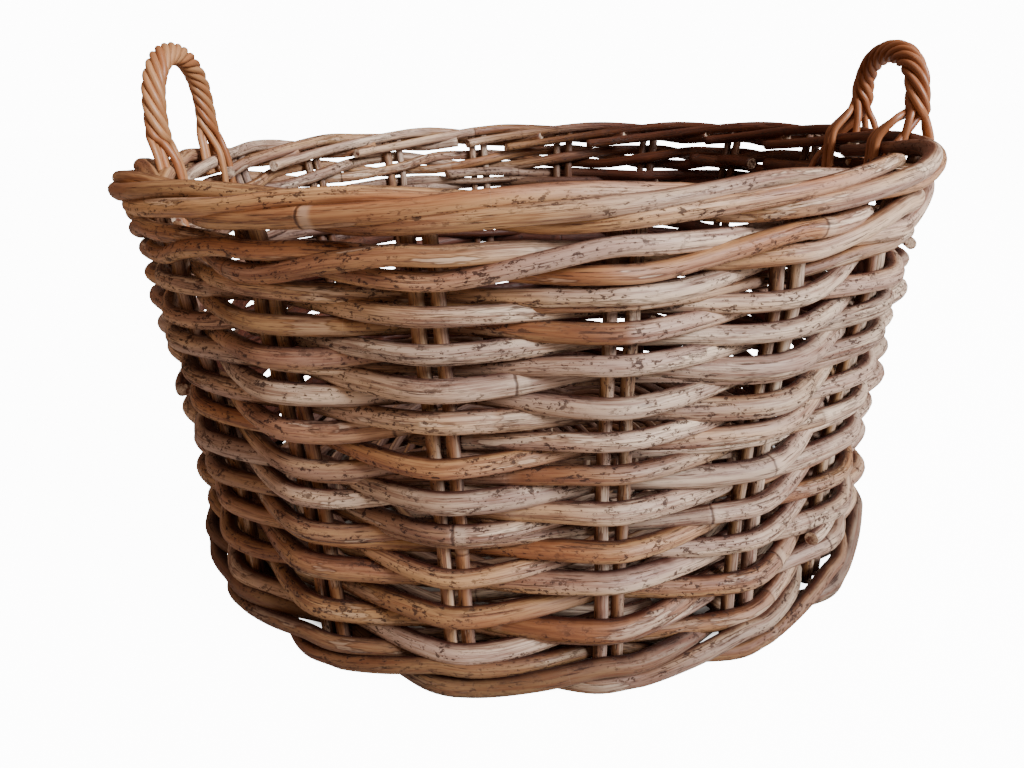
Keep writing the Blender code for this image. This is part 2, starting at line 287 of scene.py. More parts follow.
def shape_rod(mesh, rod, line, along, number, joint, rng):
    """Makes a grown rod a little uneven, and stores where each point lies on it for the materials."""
    count = len(mesh.vertices)
    turn = read(mesh.attributes["turn"].data, "value", count)
    ring = read(mesh.attributes["ring"].data, "value", count).astype(int)
    places = read(mesh.vertices, "co", count * 3).reshape(-1, 3)
    angle = 2 * math.pi * turn / rod.sides
    lobes = sum(
        size * np.sin(lobe * angle + wave * along[ring] + rng.uniform(0, 7))
        for lobe, size, wave in ((2, 0.035, 14), (3, 0.02, 31), (1, 0.02, 55))
    )
    places += (places - line[ring]) * lobes[:, None]
    mesh.vertices.foreach_set("co", places.astype(np.float32).ravel())
    tones = np.array([rng.random() for _ in range(number.max() + 2)])
    values = {
        "along": along[ring],
        "joint": joint[ring],
        "tone": tones[number[ring]],
        "shade": np.full(count, rod.shade),
        "seed": np.full(count, rng.uniform(0, 50)),
    }
    for name, data in values.items():
        layer = mesh.attributes.new(name, "FLOAT", "POINT")
        layer.data.foreach_set("value", data.astype(np.float32))
    corners = len(mesh.loops)
    corner_vertex = read(mesh.loops, "vertex_index", corners, np.int32)
    around = turn[corner_vertex] / rod.sides
    sizes = read(mesh.polygons, "loop_total", len(mesh.polygons), np.int32)
    face_of = np.repeat(np.arange(len(sizes)), sizes)
    wraps = np.zeros(len(sizes), bool)
    np.logical_or.at(wraps, face_of, around > 0.75)
    around = np.where(wraps[face_of] & (around < 0.25) & (sizes[face_of] == 4), 1, around)
    rod_map = np.stack([around, along[ring[corner_vertex]]], axis=1)
    layer = mesh.uv_layers.new(name="rod")
    layer.data.foreach_set("uv", rod_map.astype(np.float32).ravel())
    layer.active = True


def strip_map(mesh, first, strips, length, cap_number, caps):
    """Lays a rod's surface out as strips of a square, and its cut ends in a column beside them."""
    edge, column = 0.004, 0.03  # the free edge, and the width of the ends' column
    rod_map = read(mesh.uv_layers["rod"].data, "uv", len(mesh.loops) * 2).reshape(-1, 2)
    sizes = read(mesh.polygons, "loop_total", len(mesh.polygons), np.int32)
    face_of = np.repeat(np.arange(len(sizes)), sizes)
    starts = np.full(len(sizes), np.inf)
    np.minimum.at(starts, face_of, rod_map[:, 1])
    strip = np.floor((starts[face_of] + 1e-5) / length)
    room = 1 - column - 2 * edge - 0.02
    u = edge + room * (rod_map[:, 1] - strip * length) / length
    v = (first + strip + 0.04 + 0.92 * rod_map[:, 0]) / strips
    cap = sizes[face_of] > 4
    angle = 2 * math.pi * rod_map[:, 0]
    far = rod_map[:, 1] > 0
    spot = (cap_number + far + 0.5) / caps
    size = min(0.4 * column, 0.4 / caps)
    u = np.where(cap, 1 - column / 2 + size * np.cos(angle), u)
    v = np.where(cap, spot + size * np.sin(angle), v)
    layer = mesh.uv_layers.new(name="OFBake")
    layer.data.foreach_set("uv", np.stack([u, v], axis=1).astype(np.float32).ravel())


def weave_piece(name, rods, material, replaced, rng):
    """One piece from its rods, joined, riding on the basket and standing for its CAD nodes."""
    lengths = [np.linalg.norm(np.diff(rod.line, axis=0), axis=1).sum() for rod in rods]
    widest = 2 * math.pi * max(float(rod.girth.max()) for rod in rods) * 1.1
    strips, shares = len(rods) - 1, [math.inf]
    while sum(shares) > strips:
        strips += 1
        shares = [math.ceil((length + 0.006) / (strips * widest)) for length in lengths]
    whole = bmesh.new()
    for number, rod in enumerate(rods):
        mesh = grow(rod, rng)
        strip_map(mesh, sum(shares[:number]), strips, strips * widest, 2 * number, 2 * len(rods))
        whole.from_mesh(mesh)
        bpy.data.meshes.remove(mesh)
    mesh = bpy.data.meshes.new(name)
    whole.to_mesh(mesh)
    whole.free()
    mesh.materials.append(bpy.data.materials[material])
    mesh.materials.append(bpy.data.materials["cut rattan"])
    piece = bpy.data.objects.new(name, mesh)
    bpy.context.scene.collection.objects.link(piece)
    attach(piece, "root")
    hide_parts(*replaced)
    return piece


# --- The weave ---


def row_joints(row, rng):
    """The stakes at which a row's rods follow each other, and whether their ends lie outside there."""
    hidden = (7 * (row + 1) + 1) % PAIRS
    outside = rng.random() < 0.4
    joints = [(hidden, False), (hidden + rng.choice((7, 9, 11) if outside else (6, 8, 10)), outside)]
    if rng.random() < 0.35:
        joints.append((hidden + 14, False))
    return joints


def pair_to_pair(values, before, share):
    """Runs from the value of one pair of stakes to that of the next."""
    return values[before % PAIRS] * (1 - share) + values[(before + 1) % PAIRS] * share


def stacked_rows(sizes):
    """Heights of the rows' centre lines on a grid of angles: each row rests on the one below it."""
    grid = np.linspace(0, 2 * math.pi, PAIRS * 12, endpoint=False)
    rng = random.Random("row girths")
    girths = []
    for row in range(ROWS):
        drift = wander(rng, len(grid) + 1, 17, 0.16 * sizes.unevenness)
        drift -= np.linspace(0, 1, len(drift)) * (drift[-1] - drift[0])
        thick = 1.14 + 0.09 * sizes.unevenness * rng.uniform(-1, 1)
        girths.append(ROW_GIRTHS[row] * (thick + drift[:-1]))
    girths = np.array(girths)
    rises = np.vstack([np.zeros(len(grid)), np.cumsum(girths[1:] + girths[:-1], axis=0)])
    heights = rises / rises[-1] * (ROW_HEIGHTS[-1] - ROW_HEIGHTS[0]) + ROW_HEIGHTS[0]
    share = (heights - ROW_HEIGHTS[0]) / (ROW_HEIGHTS[-1] - ROW_HEIGHTS[0])
    heights += sizes.belly * np.sin(math.pi * share**0.85) - 0.9 * sizes.belly * (1 - share) ** 8
    return grid, girths, heights


def row_rods(row, sizes, stack, rng):
    """The rods of one row of the weave, with ends that pass each other at a pair of stakes."""
    grid, girths, heights = stack
    joints = row_joints(row, rng)
    sags = np.array([rng.gauss(0, 0.0014 * sizes.unevenness) for _ in range(PAIRS)])
    leans = np.array([rng.gauss(0, 0.0009 * sizes.unevenness) for _ in range(PAIRS)])
    rods = []
    for place, (stake, outside) in enumerate(joints):
        next_stake, next_outside = joints[(place + 1) % len(joints)]
        if place == len(joints) - 1:
            next_stake += PAIRS
        first, last = stake * SPAN, next_stake * SPAN
        doubled = 2 * SPAN if rng.random() < 0.45 else 0
        start = first - doubled
        shown = (outside, next_outside)
        over_first, over_last = (rng.uniform(*((0.28, 0.5) if seen else (0.16, 0.45))) for seen in shown)
        angle = np.arange(start - over_first * SPAN, last + over_last * SPAN, 0.003 / ROW_REACHES[row])
        turned = angle % (2 * math.pi)
        height = np.interp(turned, grid, heights[row], period=2 * math.pi)
        girth = np.interp(turned, grid, girths[row], period=2 * math.pi) * taper(len(angle), rng)
        before = np.floor(angle / SPAN).astype(int)
        share = smooth(angle / SPAN - before)
        height = height + pair_to_pair(sags, before, share)
        side_first, side_last = (1 if seen else -1 for seen in shown)
        wave = wave_of(angle, PAIRS, row + 1, WALL_SHARPNESS)
        wave = np.where(angle < start, side_first, wave)
        wave = np.where(angle > last, side_last, wave)
        at_first = 1 - smooth((angle - first) / SPAN / 0.8)
        at_last = 1 - smooth((last - angle) / SPAN / 0.8)
        height = height - 1.04 * ROW_GIRTHS[row] * at_first + 1.04 * ROW_GIRTHS[row] * at_last
        girth = girth * (1 - (0.34 if doubled else 0.12) * at_first - 0.14 * at_last)
        past_first = side_first * smooth((start - angle) / SPAN / 0.4)
        past_last = side_last * smooth((angle - last) / SPAN / 0.4)
        across = sizes.stake_diameter / 2 + girth + GAP
        lean = pair_to_pair(leans, before, share)
        radius = wall_radius(height) + across * wave + lean + 0.004 * (past_first + past_last)
        height = height + wander(rng, len(angle), 30, 0.0012 * sizes.unevenness)
        line = on_wall(angle, radius, height)
        shade = draw_shade(rng, 0.56 if row < 6 else 0.44, 0.28)
        rods.append(Rod(line, girth, shade, 14, ROD_STEP, draw_slants(rng), rng.uniform(0.2, 0.42)))
    return rods


def stake_rods(pair, sizes, rng):
    """The two rods of a pair of stakes, side by side from the foot into the rim."""
    rods = []
    for side in (-1, 1):
        girth = sizes.stake_diameter / 2 * rng.uniform(0.9, 1.08)
        heights = np.linspace(0.004, RIM_HIGH - 0.009, 60)
        beside = side * (girth + 0.0011 + rng.uniform(0, 0.0009))
        beside = beside + wander(rng, len(heights), 22, 0.0016) + rng.gauss(0, 0.0008)
        radius = wall_radius(heights) + wander(rng, len(heights), 25, 0.0012)
        line = on_wall(pair * SPAN + beside / radius, radius, heights)
        girths = girth * np.linspace(1.04, 0.94, len(heights))
        shade, slants = draw_shade(rng, 0.45, 0.25), (0, rng.uniform(-0.4, 0.4))
        rods.append(Rod(line, girths, shade, 12, 0.006, slants, rng.uniform(0.15, 0.3)))
    return rods


def twisted_rods(phase, rng, low, high, thick, shade_middle, flare):
    """One rod of a three-rod twist, in lengths: over two pairs of stakes as it climbs, then behind one.

    A flare pushes the rods outward and makes their way between the stakes rounder.
    """
    middle = (low + high) / 2
    spread = (high - low) / 2 - thick
    across = STAKE_RADIUS + thick + GAP
    first = (2 - phase) % 3
    rods = []
    stops = [first + round(PAIRS * share / BAND_LENGTHS / 3) * 3 for share in range(BAND_LENGTHS + 1)]
    for begin, end in zip(stops, stops[1:]):
        points = []
        for stake in range(begin, end + 1):
            turn = (stake + phase) % 3
            rise = (-spread, spread, 0)[turn] + rng.gauss(0, 0.0006)
            shift = rng.gauss(0, 0.0006)
            outside = across + flare + shift
            if stake == begin:
                points.append((stake - TUCK, -across - 0.003, middle - 0.0005))
            if turn == 2:
                points.append((stake, -across + shift, middle + rise))
            else:
                points += [(stake + beside, outside, middle + rise) for beside in (-0.13, 0.13)]
            if stake == end:
                points.append((stake + TUCK, -across - 0.003, middle + 0.0005))
            else:
                out, push, rise = ((1.02, 1.1, 0.1), (0.3, 0.8, 0.95), (-0.3, 1.1, -0.95))[turn]
                points.append((stake + 0.5, out * across + push * flare, middle + rise * spread))
        path = eased(points)
        girth = thick * rng.uniform(0.94, 1.08) * taper(len(path), rng)
        height = np.maximum(path[:, 2], 1.13 * girth)
        line = on_wall(path[:, 0] * SPAN, wall_radius(height) + path[:, 1], height)
        shade = draw_shade(rng, shade_middle, 0.2)
        rods.append(Rod(line, girth, shade, 16, ROD_STEP, draw_slants(rng), rng.uniform(0.28, 0.45)))
    return rods


def border_rods(number, sizes, rng):
    """The rim's rods that start at every third pair: along the outside, over the rim and down inside."""
    rods = []
    thick = sizes.border_diameter / 2
    low, high = RIM_LOW + thick, RIM_HIGH - thick
    for stake in range(number, PAIRS, 3):
        girth = thick * rng.uniform(0.86, 1.06)
        out = STAKE_RADIUS + girth + GAP
        jog = rng.gauss(0, 0.0008)
        tail = rng.uniform(3.0, 3.75)
        points = [
            (-0.75, -out, low + 0.002),
            (-0.4, 0, low - 0.001),
            (-0.08, out, low + 0.0005),
            (0.2, out + 0.001, low + 0.0015 + jog),
            (0.6, out + 0.001, low + 0.004 + jog),
            (1.0, out + 0.0005, high - 0.004 + jog),
            (1.35, 0.75 * out, high - 0.0005),
            (1.7, 0.1 * out, high + 0.0012),
            (2.05, -0.75 * out, high - 0.0005),
            (2.5, -out - 0.0015, high - 0.0045),
            (3.0, -out - 0.003, high - 0.0095),
        ]
        inside = -out - 0.006 - rng.uniform(0, 0.003)
        points.append((tail, inside, high - 0.0095 - (tail - 3) * rng.uniform(0.006, 0.011)))
        path = eased(points)
        radius = wall_radius(np.clip(path[:, 2], RIM_LOW, RIM_HIGH)) + path[:, 1]
        path[:, 2] += wander(rng, len(path), 40, 0.0015)
        line = on_wall((stake + path[:, 0]) * SPAN, radius, path[:, 2])
        girths = girth * np.linspace(1.06, 0.84, len(path))
        shade, slants = draw_shade(rng, 0.7, 0.22), (0, rng.uniform(-0.55, 0.55))
        rods.append(Rod(line, girths, shade, 16, ROD_STEP, slants, rng.uniform(0.25, 0.45)))
    return rods


# --- The base ---


def base_levels():
    """The radius of a base stick, the height of the base, and how far crossed sticks part there."""
    low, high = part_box("base_stick_y_2")
    girth = (high.x - low.x) / 2
    return girth, middle_height("base_weave"), thickness("base_stick_x_2") / 2 - girth * 0.9


def base_rods(place, layer, rng):
    """One stick of the base, beside its neighbours in the middle and fanned out towards the wall."""
    girth, middle, lift = base_levels()
    lift = lift if layer else -lift
    side = place - (STICKS - 1) / 2
    radius = float(wall_radius(middle)) - 0.008
    fan = side * math.pi / 2 / STICKS
    beside = side * 2 * (girth + GAP)
    half = [
        (0.022, beside, middle + lift),
        (0.05, beside + 0.3 * side * 0.03, middle + 0.85 * lift),
        (radius * math.cos(fan), radius * math.sin(fan), middle),
    ]
    points = [(-x, y, z) for x, y, z in reversed(half)] + half
    if layer:
        points = [(-y, x, z) for x, y, z in points]
    line = eased(points, 24)
    girths = girth * (1 + wander(rng, len(line), 30, 0.08))
    return [Rod(line, girths, 0.35, 12, 0.006, (0, 0), 0.17)]


def ring_rods(rng):
    """The base's rods, ring by ring, each over the spokes that the last went under."""
    girth, middle, lift = base_levels()
    inner, outer = 0.049, float(wall_radius(middle)) - 0.0105
    rods = []
    radius = inner
    while radius < outer:
        share = (radius - inner) / (outer - inner)
        thick = 0.0030 + 0.0013 * share
        start = rng.uniform(0, 2 * math.pi)
        angle = np.arange(start, start + 2 * math.pi + 0.018 / radius, 0.003 / radius)
        wave = wave_of(angle, 4 * STICKS, len(rods), BASE_SHARPNESS)
        level = lift * (1 - share) * 0.85 * np.clip(-2 * np.cos(2 * angle), -1, 1)
        run = np.linspace(0, 1, len(angle))
        height = middle + level + (girth + thick - 0.0006) * wave
        height = np.clip(height, thick + 0.0006, None)
        spiral = radius + thick * (run - 0.5)
        line = on_wall(angle, spiral + wander(rng, len(angle), 40, 0.001), height)
        girths = thick * (1 + wander(rng, len(angle), 30, 0.12))
        shade = draw_shade(rng, 0.4, 0.25)
        rods.append(Rod(line, girths, shade, 10, 0.0055, (0, 0), rng.uniform(0.14, 0.24)))
        radius += 2 * thick + 0.0007
    return rods


# --- The handles ---


def bow_line(side):
    """A handle's centre line from its foot at -Y over the top to its foot at +Y, all above the rim.

    The left handle is taller and leans in, and the right one stands further out.
    """
    handle = HANDLES[side]
    leg = float(wall_radius(RIM_HIGH)) - handle.inset
    half_width = BOW_HIGH.y - BOW_RADIUS - 0.011
    foot = RIM_HIGH + 0.009
    top = BOW_HIGH.z - BOW_RADIUS + handle.lift
    points = []
    for turn in np.linspace(-math.pi / 2, math.pi / 2, 41):
        rise = max(0, math.cos(turn))
        out = leg + handle.bulge * rise**0.5
        points.append((side * out, half_width * math.sin(turn), foot + (top - foot) * rise**0.6))
    return np.array(points)


def bow_rod(side):
    """The stiff rod inside the rope, from inside the wale over the top and down again."""
    foot = BOW_HIGH.y - BOW_RADIUS
    low = BOW_LOW.z + 0.002
    legs = []
    for end in (-1, 1):
        for level, height in ((low, low), (RIM_LOW, RIM_LOW - 0.004)):
            out = math.sqrt((float(wall_radius(level)) - LEG_INSET) ** 2 - foot**2)
            legs.append((side * out, end * foot, height))
    line = eased(np.vstack([legs[:2], bow_line(side), legs[:1:-1]]), 3)
    return [Rod(line, np.full(len(line), CORE_RADIUS), 0.5, 12, 0.004, (0, 0), 0.2)]


def rope_rods(side, sizes, rng):
    """The thin canes laid round the bow like a rope. At each foot they part and tuck into the rim."""
    centre, _, run = evenly(bow_line(side), np.ones(41), WRAP_STEP)
    along = units(np.gradient(centre, axis=0))
    outward = np.zeros_like(along)
    outward[:, 0] = side
    outward = units(outward - along * (outward * along).sum(axis=1)[:, None])
    level = np.cross(along, outward)
    thin = sizes.cane_diameter / 2
    count = sizes.rope_canes
    spread = 1.04 * thin / math.sin(math.pi / count)
    rods = []
    for cane in range(count):
        turn = 2 * math.pi * (cane / count - run / sizes.rope_lay)
        loose = 1 + 0.15 * smooth(1 - np.minimum(run, run[-1] - run) / 0.02)
        around = outward * np.cos(turn)[:, None] + level * np.sin(turn)[:, None]
        wrap = centre + (spread * loose)[:, None] * around
        feet = []
        for end, place in ROPE_FANS:
            onward = turn[place] - end * 0.4 * math.pi
            ahead = outward[place] * math.cos(onward) + level[place] * math.sin(onward)
            feet.append(foot_points(side, wrap[place], ahead, centre[place], spread, rng))
        line = eased(np.vstack([feet[0][::-1], wrap[2:-4:2], feet[1]]), 4)
        girths = thin * (1 + wander(rng, len(line), 60, 0.1))
        shade = rng.uniform(0.3, 1.0)
        rods.append(Rod(line, girths, shade, 10, FINE_STEP, (0, 0), 0.3))
    return rods


def foot_points(side, last, ahead, centre, spread, rng):
    """Where a cane goes from the foot of the rope: down inside the rim, into it, or over it.

    Each cane goes on the way that its turn round the rope was taking it.
    """
    middle = math.atan2(centre[1], centre[0])
    radial = np.array([math.cos(middle), math.sin(middle), 0])
    tangent = np.array([-math.sin(middle), math.cos(middle), 0])
    rim = float(wall_radius(RIM_HIGH) - squeeze(middle, RIM_HIGH))
    start = math.hypot(last[0], last[1])
    lean = float(ahead @ radial)
    if side > 0 and lean > 0.4:
        places = [
            (0.3, 0.45 * start + 0.55 * (rim + 0.0125), RIM_HIGH + 0.0105),
            (0.7, rim + 0.0130, RIM_HIGH + 0.0025),
            (0.95, rim + 0.0158, RIM_HIGH - 0.0070),
            (1.05, rim + 0.0145, RIM_LOW + 0.0020),
            (1.05, rim + 0.0040, RIM_LOW - 0.0045),
            (1.0, rim - 0.0060, RIM_LOW - 0.0060),
        ]
    elif lean > -0.35:
        sunk = rim - HANDLES[side].sunk
        places = [
            (0.3, 0.5 * (start + sunk), RIM_HIGH + 0.0090),
            (0.7, sunk, RIM_HIGH - 0.0010),
            (1.0, sunk - 0.0010, RIM_HIGH - 0.0120),
            (1.0, sunk - 0.0030, RIM_LOW + 0.0020),
        ]
    else:
        places = [
            (0.3, 0.5 * (start + rim - LEG_INSET), RIM_HIGH + 0.0095),
            (0.6, rim - 0.0190, RIM_HIGH - 0.0020),
            (0.85, rim - 0.0205, RIM_HIGH - 0.0130),
            (1.0, rim - 0.0205, RIM_LOW - 0.0060),
            (1.0, rim - 0.0200, WALE_HIGH - 0.0120),
            (0.9, rim - LEG_INSET, WALE_LOW + 0.0020),
        ]
    beside = float(ahead @ tangent) * spread / rim
    drift = rng.uniform(-0.008, 0.008)
    share, radius, height = np.array(places).T
    angle = middle + beside * (1.1 + 0.9 * share) + drift * share
    return np.stack([radius * np.cos(angle), radius * np.sin(angle), height], axis=1)


# --- Materials ---


class Wiring:
    """Adds nodes to a tree and joins them, in the order in which a pattern is thought out."""

    def __init__(self, tree):
        self.tree = tree

    def add(self, kind, values=None, **settings):
        node = self.tree.nodes.new(kind)
        for name, value in settings.items():
            setattr(node, name, value)
        for key, value in (values or {}).items():
            socket = node.inputs[key]
            if isinstance(value, bpy.types.NodeSocket):
                self.tree.links.new(value, socket)
            else:
                socket.default_value = value
        return node

    def group(self, tree, **values):
        return self.add("ShaderNodeGroup", values, node_tree=tree).outputs[:]

    def maths(self, operation, *values, clamp=False):
        values = dict(enumerate(values))
        return self.add("ShaderNodeMath", values, operation=operation, use_clamp=clamp).outputs[0]

    def times(self, first, second):
        return self.maths("MULTIPLY", first, second)

    def plus(self, first, second, clamp=False):
        return self.maths("ADD", first, second, clamp=clamp)

    def minus(self, first, second):
        return self.maths("SUBTRACT", first, second)

    def band(self, value, low, high, top=1.0, bottom=0.0):
        """From bottom to top as the value goes from low to high."""
        values = {"Value": value, "From Min": low, "From Max": high, "To Min": bottom, "To Max": top}
        return self.add("ShaderNodeMapRange", values, interpolation_type="SMOOTHSTEP").outputs["Result"]

    def mix(self, amount, first, second, blend="MIX"):
        values = {0: amount, 6: first, 7: second}
        return self.add("ShaderNodeMix", values, data_type="RGBA", blend_type=blend).outputs[2]

    def noise(self, place, scale, detail=3.0, rough=0.55):
        values = {"Vector": place, "Scale": scale, "Detail": detail, "Roughness": rough}
        return self.add("ShaderNodeTexNoise", values).outputs["Fac"]

    def drawn(self, place, scale, detail, rough):
        """Noise with its own scale in each direction, which draws it out along the rod."""
        stretched = self.add("ShaderNodeMapping", {"Vector": place, "Scale": scale})
        return self.noise(stretched.outputs["Vector"], 1.0, detail, rough)

    def split(self, place):
        return self.add("ShaderNodeSeparateXYZ", {0: place}).outputs

    def join(self, *parts, kind="ShaderNodeCombineXYZ"):
        return self.add(kind, dict(enumerate(parts))).outputs[0]

    def attribute(self, name):
        return self.add("ShaderNodeAttribute", attribute_name=name).outputs["Fac"]


def group(name, inputs, outputs, build):
    """A node group, filled by build(wiring, inputs), which returns the sockets of its outputs."""
    tree = bpy.data.node_groups.new(name, "ShaderNodeTree")
    for label, kind, value in inputs:
        socket = tree.interface.new_socket(label, in_out="INPUT", socket_type=kind)
        if value is not None:
            socket.default_value = value
    for label, kind in outputs:
        tree.interface.new_socket(label, in_out="OUTPUT", socket_type=kind)
    wiring = Wiring(tree)
    source = wiring.add("NodeGroupInput")
    found = build(wiring, source.outputs)
    wiring.add("NodeGroupOutput", dict(zip([label for label, _ in outputs], found)))
    return tree


FLOAT, VECTOR = "NodeSocketFloat", "NodeSocketVector"


RATTANS = {  # shares of grey and of freckles, roughness, strength of painted shade (with some soiling) and lightness
    "weathered rattan": (0.34, 0.31, 0.42, 0.95, 0.76),
    "border rattan": (0.20, 0.25, 0.36, 0.90, 0.92),
    # The foot's low lightness paints the shade that falls on the foot at the floor.
    "foot rattan": (0.22, 0.26, 0.46, 0.95, 0.31),
    "stake rattan": (0.12, 0.22, 0.42, 0.80, 0.74),
    "base rattan": (0.30, 0.14, 0.50, 0.75, 0.74),
}


def build_wrap(w, inputs):
    """A place on the rod's skin, without a seam: two coordinates round the rod and one along it."""
    around, along, _ = w.split(w.add("ShaderNodeUVMap", uv_map="rod").outputs["UV"])
    turn = w.times(around, 2 * math.pi)
    across = [w.times(w.maths(part, turn), 0.005) for part in ("COSINE", "SINE")]
    return [w.join(*across, w.plus(along, w.attribute("seed")))]


def build_grain(w, inputs):
    """Fine fibres and short dark cracks that run along the rod."""
    fine = w.drawn(inputs["Place"], (1500, 1500, 60), 4, 0.6)
    streak = w.drawn(inputs["Place"], (420, 420, 13), 3, 0.5)
    crack = w.drawn(inputs["Place"], (900, 900, 45), 5, 0.65)
    patch = w.noise(inputs["Place"], 26, 3, 0.6)
    cracks = w.band(crack, 0.575, 0.625)
    cracks = w.times(cracks, w.band(patch, 0.38, 0.54))
    grain = w.plus(w.times(fine, 0.5), w.times(streak, 0.5))
    return [grain, cracks]


def build_specks(w, inputs):
    """Dark freckles that crowd together in patches, some of them run into blotches."""
    warp = w.drawn(inputs["Place"], (300, 300, 150), 3, 0.6)
    grainy = w.drawn(inputs["Place"], (700, 700, 380), 4, 0.7)
    patch = w.drawn(inputs["Place"], (60, 60, 14), 3, 0.6)
    crowd = w.band(patch, w.minus(0.68, inputs["Amount"]), w.minus(0.86, inputs["Amount"]))
    both = w.plus(w.times(warp, 0.45), w.times(grainy, 0.55))
    return [w.times(w.band(both, 0.535, 0.575), crowd)]


def build_joints(w, inputs):
    """The ring at each joint of the cane: a dark line, with a paler scar beside it."""
    joint = w.attribute("joint")
    wobble = w.times(w.minus(w.noise(inputs["Place"], 240, 2), 0.5), 0.0016)
    near = w.maths("ABSOLUTE", w.plus(joint, wobble))
    line = w.band(near, 0.0002, 0.0012, 0.0, 1.0)
    scar = w.band(w.maths("ABSOLUTE", w.minus(joint, 0.004)), 0.001, 0.0045, 0.0, 1.0)
    fresh = w.band(w.noise(inputs["Place"], 11, 1), 0.40, 0.60)
    return [w.times(line, fresh), w.times(scar, fresh)]


def build_peel(w, inputs):
    """Crisp-edged patches where the skin has come off and bare wood shows."""
    shape = w.drawn(inputs["Place"], (95, 95, 13), 4, 0.62)
    peel = w.band(shape, 0.61, 0.63)
    edge = w.times(w.band(shape, 0.585, 0.61), w.band(shape, 0.61, 0.63, 0.0, 1.0))
    return [peel, edge]


def build_weather_light_and_shade(w, inputs):
    """Where the basket is greyed and bleached, partly by the sun and partly as painted light on the side
    facing the window lamp, and where painted shade, with some soiling, darkens what does not face out of
    the basket.
    """
    place = w.add("ShaderNodeTexCoord").outputs["Object"]
    x, y, z = w.split(place)
    facing = w.add("ShaderNodeNewGeometry").outputs["Normal"]
    # Greyer on the side that faces the window lamp (+X) and towards the right: partly sun-bleaching,
    # partly painted window light.
    fade_and_window_light = w.plus(w.times(w.split(facing)[0], 0.45), w.times(x, 0.6))
    fade_and_window_light = w.band(w.plus(fade_and_window_light, w.noise(place, 6, 3, 0.6)), 0.35, 0.88)
    out = w.add("ShaderNodeVectorMath", {0: w.join(x, y, 0.0)}, operation="NORMALIZE").outputs[0]
    faces = w.add("ShaderNodeVectorMath", {0: facing, 1: out}, operation="DOT_PRODUCT").outputs["Value"]
    # Painted shade, with some soiling: the further a surface turns from facing out of the basket, the
    # more it is darkened, most of all on the inside walls.
    shade_facing = w.plus(faces, w.times(w.minus(w.noise(place, 45, 3, 0.6), 0.5), 1.1))
    # A greyer patch without painted shade high on the inside of the left wall, where the window light
    # falls: painted light, partly sun-bleaching.
    bleach_and_window_light = w.times(w.band(faces, 0.1, -0.6), w.band(x, 0.12, -0.10))
    bleach_and_window_light = w.times(bleach_and_window_light, w.band(z, 0.16, 0.26))
    hidden = w.times(w.band(shade_facing, 0.70, -0.25), w.minus(1.0, bleach_and_window_light))
    return [w.maths("MAXIMUM", fade_and_window_light, bleach_and_window_light), hidden]


def make_groups():
    place_in = [("Place", VECTOR, None)]
    speck_in = place_in + [("Amount", FLOAT, 0.15)]
    return {
        "wrap": group("Rod wrap", [], [("Place", VECTOR)], build_wrap),
        "grain": group("Rod grain", place_in, [("Grain", FLOAT), ("Cracks", FLOAT)], build_grain),
        "specks": group("Freckles", speck_in, [("Specks", FLOAT)], build_specks),
        "joints": group("Cane joints", place_in, [("Line", FLOAT), ("Scar", FLOAT)], build_joints),
        "peel": group("Peeled skin", place_in, [("Bare", FLOAT), ("Edge", FLOAT)], build_peel),
        # The Faded output is partly painted window light and partly sun-bleaching; the Hidden output is
        # painted shade with some soiling.
        "weather_light_and_shade": group("Weathering with painted light and shade", [], [("Faded", FLOAT), ("Hidden", FLOAT)], build_weather_light_and_shade),
    }


def linear(colour):
    """A colour as chosen on a screen, as the shaders need it."""
    parts = [part / 12.92 if part <= 0.04045 else ((part + 0.055) / 1.055) ** 2.4 for part in colour]
    return (*parts, 1)


def new_material(name):
    """The wiring of a new material with nothing in it yet."""
    material = bpy.data.materials.new(name)
    material.use_nodes = True
    material.node_tree.nodes.clear()
    return Wiring(material.node_tree)


def surface(w, colour, rough, height, strength, depth, specular=0.5):
    """Ends a material, with a relief of the given strength and depth in metres."""
    relief = w.add("ShaderNodeBump", {"Strength": strength, "Distance": depth, "Height": height})
    values = {"Base Color": colour, "Roughness": rough, "Normal": relief.outputs["Normal"]}
    shader = w.add("ShaderNodeBsdfPrincipled", values | {"Specular IOR Level": specular})
    w.add("ShaderNodeOutputMaterial", {"Surface": shader.outputs["BSDF"]})


